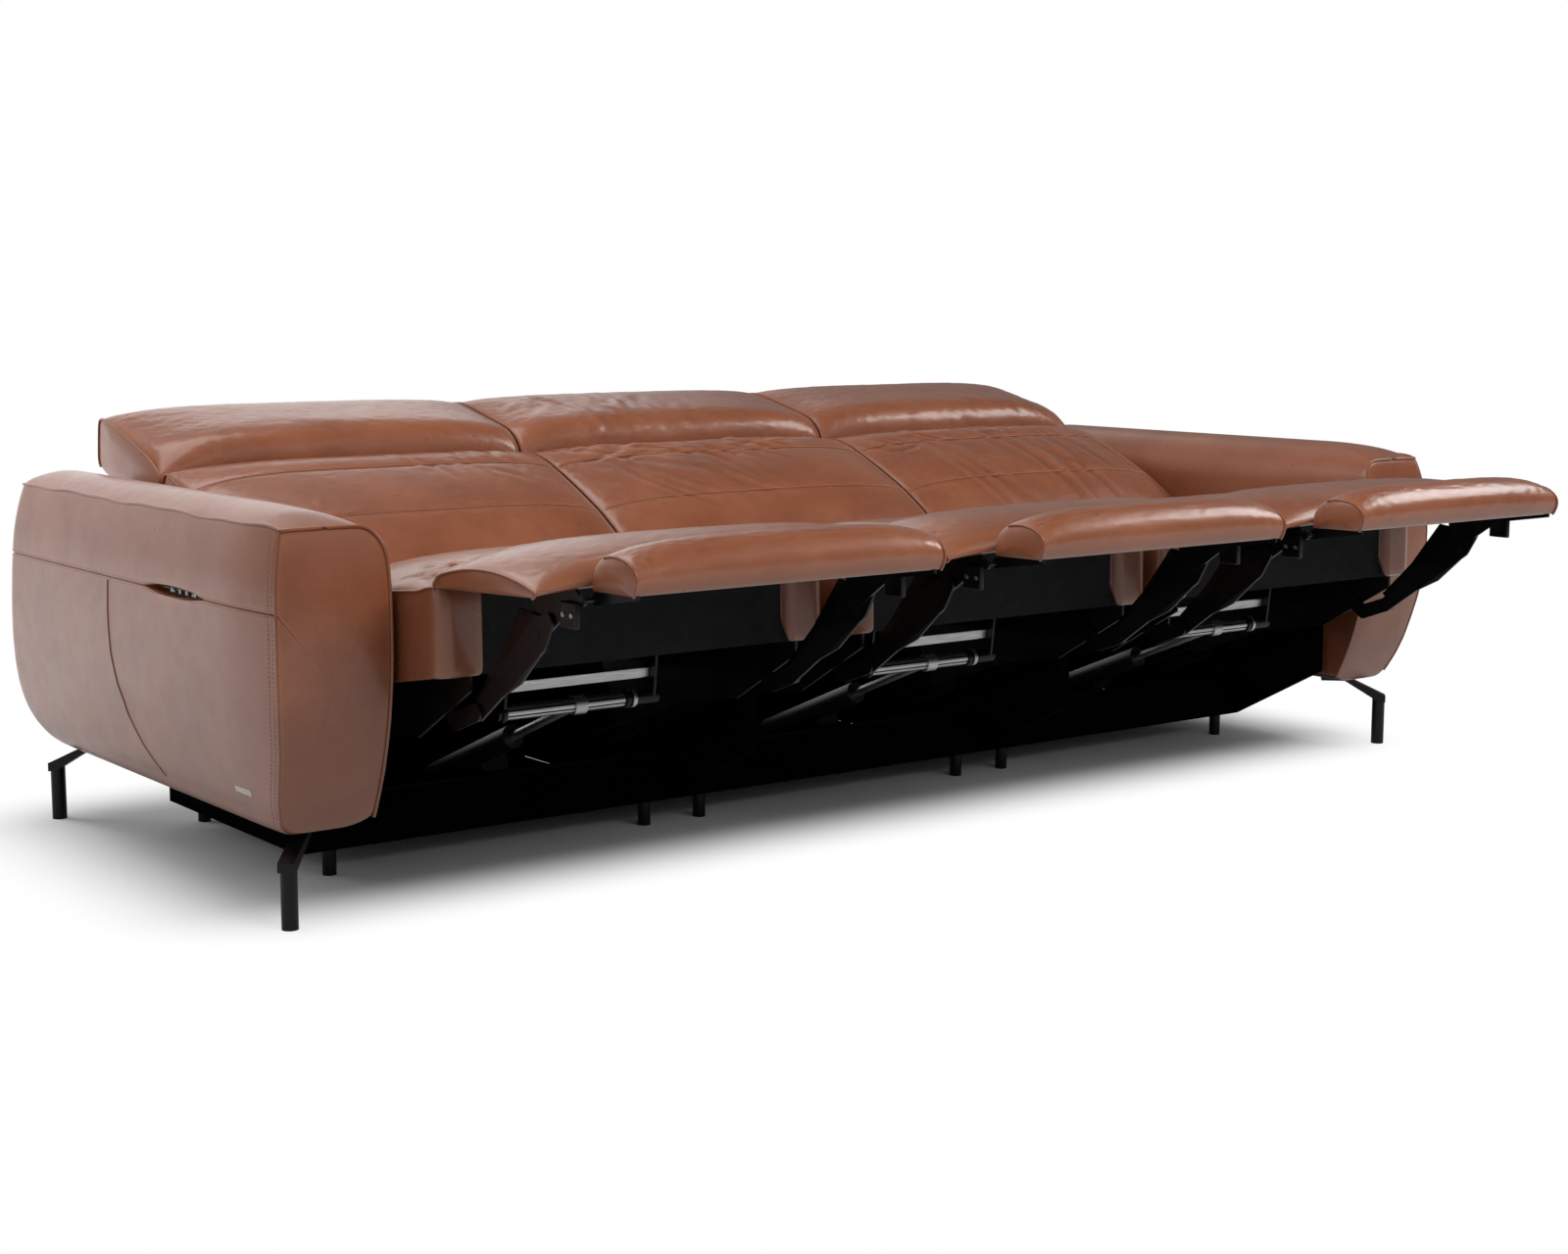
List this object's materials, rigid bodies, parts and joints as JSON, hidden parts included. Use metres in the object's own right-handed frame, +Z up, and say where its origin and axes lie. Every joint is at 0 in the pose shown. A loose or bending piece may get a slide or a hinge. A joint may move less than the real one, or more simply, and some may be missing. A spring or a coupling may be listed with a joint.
{
  "type": "power reclining sofa",
  "caption": "Straight power reclining sofa in brown leather, its seats sliding on inclined guides while the backs recline and padded footrests with flippers unfold.",
  "frame": {"origin": "on the floor under the middle of the reclined sofa's outer box", "axes": "+X along the sofa towards the right arm as seen from the front, +Y from the footrests to the backs, +Z up"},
  "size_m": [2.824, 1.8156, 0.8147],
  "materials": {
    "cognac_leather": "semi-aniline, soft sheen",
    "black_steel": "satin black powder coat",
    "bright_steel": "bright zinc",
    "black_board": "black fabric over board",
    "black_plastic": "fine texture"
  },
  "bodies": {
    "base": {"base_panels": "black_board", "guide_rails": "black_steel", "stub_feet": "black_steel", "left_arm": "cognac_leather", "right_arm": "cognac_leather", "corner_legs": "black_steel", "control_strip": "black_plastic", "left_actuator_body": "black_plastic", "middle_actuator_body": "black_plastic", "right_actuator_body": "black_plastic"},
    "left_carriage": {"left_carriage_plates": "black_steel", "left_drive_tube": "bright_steel", "left_actuator_rod": "bright_steel", "left_seat_frame": "black_board", "left_seat_cushion": "cognac_leather"},
    "left_back": {"left_back_frame": "black_board", "left_back_cushion": "cognac_leather"},
    "left_headrest": {"left_headrest_arms": "black_steel", "left_headrest_cushion": "cognac_leather"},
    "left_footrest": {"left_footrest_brackets": "black_steel", "left_footrest_pad": "cognac_leather"},
    "left_lower_link": {"left_lower_links": "black_steel"},
    "left_upper_link": {"left_upper_links": "black_steel"},
    "left_flipper": {"left_flipper_brackets": "black_steel", "left_flipper_pad": "cognac_leather"},
    "middle_carriage": {"middle_carriage_plates": "black_steel", "middle_drive_tube": "bright_steel", "middle_actuator_rod": "bright_steel", "middle_seat_frame": "black_board", "middle_seat_cushion": "cognac_leather"},
    "middle_back": {"middle_back_frame": "black_board", "middle_back_cushion": "cognac_leather"},
    "middle_headrest": {"middle_headrest_arms": "black_steel", "middle_headrest_cushion": "cognac_leather"},
    "middle_footrest": {"middle_footrest_brackets": "black_steel", "middle_footrest_pad": "cognac_leather"},
    "middle_lower_link": {"middle_lower_links": "black_steel"},
    "middle_upper_link": {"middle_upper_links": "black_steel"},
    "middle_flipper": {"middle_flipper_brackets": "black_steel", "middle_flipper_pad": "cognac_leather"},
    "right_carriage": {"right_carriage_plates": "black_steel", "right_drive_tube": "bright_steel", "right_actuator_rod": "bright_steel", "right_seat_frame": "black_board", "right_seat_cushion": "cognac_leather"},
    "right_back": {"right_back_frame": "black_board", "right_back_cushion": "cognac_leather"},
    "right_headrest": {"right_headrest_arms": "black_steel", "right_headrest_cushion": "cognac_leather"},
    "right_footrest": {"right_footrest_brackets": "black_steel", "right_footrest_pad": "cognac_leather"},
    "right_lower_link": {"right_lower_links": "black_steel"},
    "right_upper_link": {"right_upper_links": "black_steel"},
    "right_flipper": {"right_flipper_brackets": "black_steel", "right_flipper_pad": "cognac_leather"},
    "button_1_body": {"button_1": "black_plastic"},
    "button_2_body": {"button_2": "black_plastic"},
    "button_3_body": {"button_3": "black_plastic"},
    "button_4_body": {"button_4": "black_plastic"}
  },
  "joints": [
    {"name": "left_recline_slide", "type": "slide", "parent": "base", "child": "left_carriage", "axis": [0, 0.9285, -0.3714], "range_m": [0, 0.2154]},
    {"name": "left_back_hinge", "type": "hinge", "parent": "left_carriage", "child": "left_back", "pos_m": [-0.8, 0.1352, 0.465], "axis": [1, 0, 0], "range_deg": [0, 40.01]},
    {"name": "left_headrest_hinge", "type": "hinge", "parent": "left_back", "child": "left_headrest", "pos_m": [-0.8, 0.58265, 0.67245], "axis": [1, 0, 0], "range_deg": [0, 35]},
    {"name": "left_footrest_hinge", "type": "hinge", "parent": "left_carriage", "child": "left_footrest", "pos_m": [-0.8, -0.4648, 0.565], "axis": [1, 0, 0], "range_deg": [0, 92.01]},
    {"name": "left_lower_link_pivot", "type": "hinge", "parent": "left_carriage", "child": "left_lower_link", "pos_m": [-0.8, -0.2818, 0.422], "axis": [1, 0, 0], "range_deg": [0, 92.01]},
    {"name": "left_upper_link_pivot", "type": "hinge", "parent": "left_footrest", "child": "left_upper_link", "pos_m": [-0.8, -0.6548, 0.505], "axis": [1, 0, 0], "range_deg": [-92.01, 0]},
    {"name": "left_flipper_hinge", "type": "hinge", "parent": "left_footrest", "child": "left_flipper", "pos_m": [-0.8, -0.7768, 0.573], "axis": [1, 0, 0], "range_deg": [0, 168.01]},
    {"name": "middle_recline_slide", "type": "slide", "parent": "base", "child": "middle_carriage", "axis": [0, 0.9285, -0.3714], "range_m": [0, 0.2154]},
    {"name": "middle_back_hinge", "type": "hinge", "parent": "middle_carriage", "child": "middle_back", "pos_m": [0, 0.1352, 0.465], "axis": [1, 0, 0], "range_deg": [0, 40.01]},
    {"name": "middle_headrest_hinge", "type": "hinge", "parent": "middle_back", "child": "middle_headrest", "pos_m": [0, 0.58265, 0.67245], "axis": [1, 0, 0], "range_deg": [0, 35]},
    {"name": "middle_footrest_hinge", "type": "hinge", "parent": "middle_carriage", "child": "middle_footrest", "pos_m": [0, -0.4648, 0.565], "axis": [1, 0, 0], "range_deg": [0, 92.01]},
    {"name": "middle_lower_link_pivot", "type": "hinge", "parent": "middle_carriage", "child": "middle_lower_link", "pos_m": [0, -0.2818, 0.422], "axis": [1, 0, 0], "range_deg": [0, 92.01]},
    {"name": "middle_upper_link_pivot", "type": "hinge", "parent": "middle_footrest", "child": "middle_upper_link", "pos_m": [0, -0.6548, 0.505], "axis": [1, 0, 0], "range_deg": [-92.01, 0]},
    {"name": "middle_flipper_hinge", "type": "hinge", "parent": "middle_footrest", "child": "middle_flipper", "pos_m": [0, -0.7768, 0.573], "axis": [1, 0, 0], "range_deg": [0, 168.01]},
    {"name": "right_recline_slide", "type": "slide", "parent": "base", "child": "right_carriage", "axis": [0, 0.9285, -0.3714], "range_m": [0, 0.2154]},
    {"name": "right_back_hinge", "type": "hinge", "parent": "right_carriage", "child": "right_back", "pos_m": [0.8, 0.1352, 0.465], "axis": [1, 0, 0], "range_deg": [0, 40.01]},
    {"name": "right_headrest_hinge", "type": "hinge", "parent": "right_back", "child": "right_headrest", "pos_m": [0.8, 0.58265, 0.67245], "axis": [1, 0, 0], "range_deg": [0, 35]},
    {"name": "right_footrest_hinge", "type": "hinge", "parent": "right_carriage", "child": "right_footrest", "pos_m": [0.8, -0.4648, 0.565], "axis": [1, 0, 0], "range_deg": [0, 92.01]},
    {"name": "right_lower_link_pivot", "type": "hinge", "parent": "right_carriage", "child": "right_lower_link", "pos_m": [0.8, -0.2818, 0.422], "axis": [1, 0, 0], "range_deg": [0, 92.01]},
    {"name": "right_upper_link_pivot", "type": "hinge", "parent": "right_footrest", "child": "right_upper_link", "pos_m": [0.8, -0.6548, 0.505], "axis": [1, 0, 0], "range_deg": [-92.01, 0]},
    {"name": "right_flipper_hinge", "type": "hinge", "parent": "right_footrest", "child": "right_flipper", "pos_m": [0.8, -0.7768, 0.573], "axis": [1, 0, 0], "range_deg": [0, 168.01]},
    {"name": "button_1_press", "type": "slide", "parent": "base", "child": "button_1_body", "axis": [1, 0, 0], "range_m": [0, 0.0012], "stiffness_N_per_m": 900},
    {"name": "button_2_press", "type": "slide", "parent": "base", "child": "button_2_body", "axis": [1, 0, 0], "range_m": [0, 0.0012], "stiffness_N_per_m": 900},
    {"name": "button_3_press", "type": "slide", "parent": "base", "child": "button_3_body", "axis": [1, 0, 0], "range_m": [0, 0.0012], "stiffness_N_per_m": 900},
    {"name": "button_4_press", "type": "slide", "parent": "base", "child": "button_4_body", "axis": [1, 0, 0], "range_m": [0, 0.0012], "stiffness_N_per_m": 900}
  ],
  "couplings": [
    {"joint": "left_back_hinge", "follows": "left_recline_slide", "rad_per_m": 3.2411},
    {"joint": "left_footrest_hinge", "follows": "left_recline_slide", "rad_per_m": 7.4545},
    {"joint": "left_lower_link_pivot", "follows": "left_recline_slide", "rad_per_m": 7.4545},
    {"joint": "left_upper_link_pivot", "follows": "left_recline_slide", "rad_per_m": -7.4545},
    {"joint": "left_flipper_hinge", "follows": "left_recline_slide", "rad_per_m": 13.613},
    {"joint": "middle_back_hinge", "follows": "middle_recline_slide", "rad_per_m": 3.2411},
    {"joint": "middle_footrest_hinge", "follows": "middle_recline_slide", "rad_per_m": 7.4545},
    {"joint": "middle_lower_link_pivot", "follows": "middle_recline_slide", "rad_per_m": 7.4545},
    {"joint": "middle_upper_link_pivot", "follows": "middle_recline_slide", "rad_per_m": -7.4545},
    {"joint": "middle_flipper_hinge", "follows": "middle_recline_slide", "rad_per_m": 13.613},
    {"joint": "right_back_hinge", "follows": "right_recline_slide", "rad_per_m": 3.2411},
    {"joint": "right_footrest_hinge", "follows": "right_recline_slide", "rad_per_m": 7.4545},
    {"joint": "right_lower_link_pivot", "follows": "right_recline_slide", "rad_per_m": 7.4545},
    {"joint": "right_upper_link_pivot", "follows": "right_recline_slide", "rad_per_m": -7.4545},
    {"joint": "right_flipper_hinge", "follows": "right_recline_slide", "rad_per_m": 13.613}
  ]
}
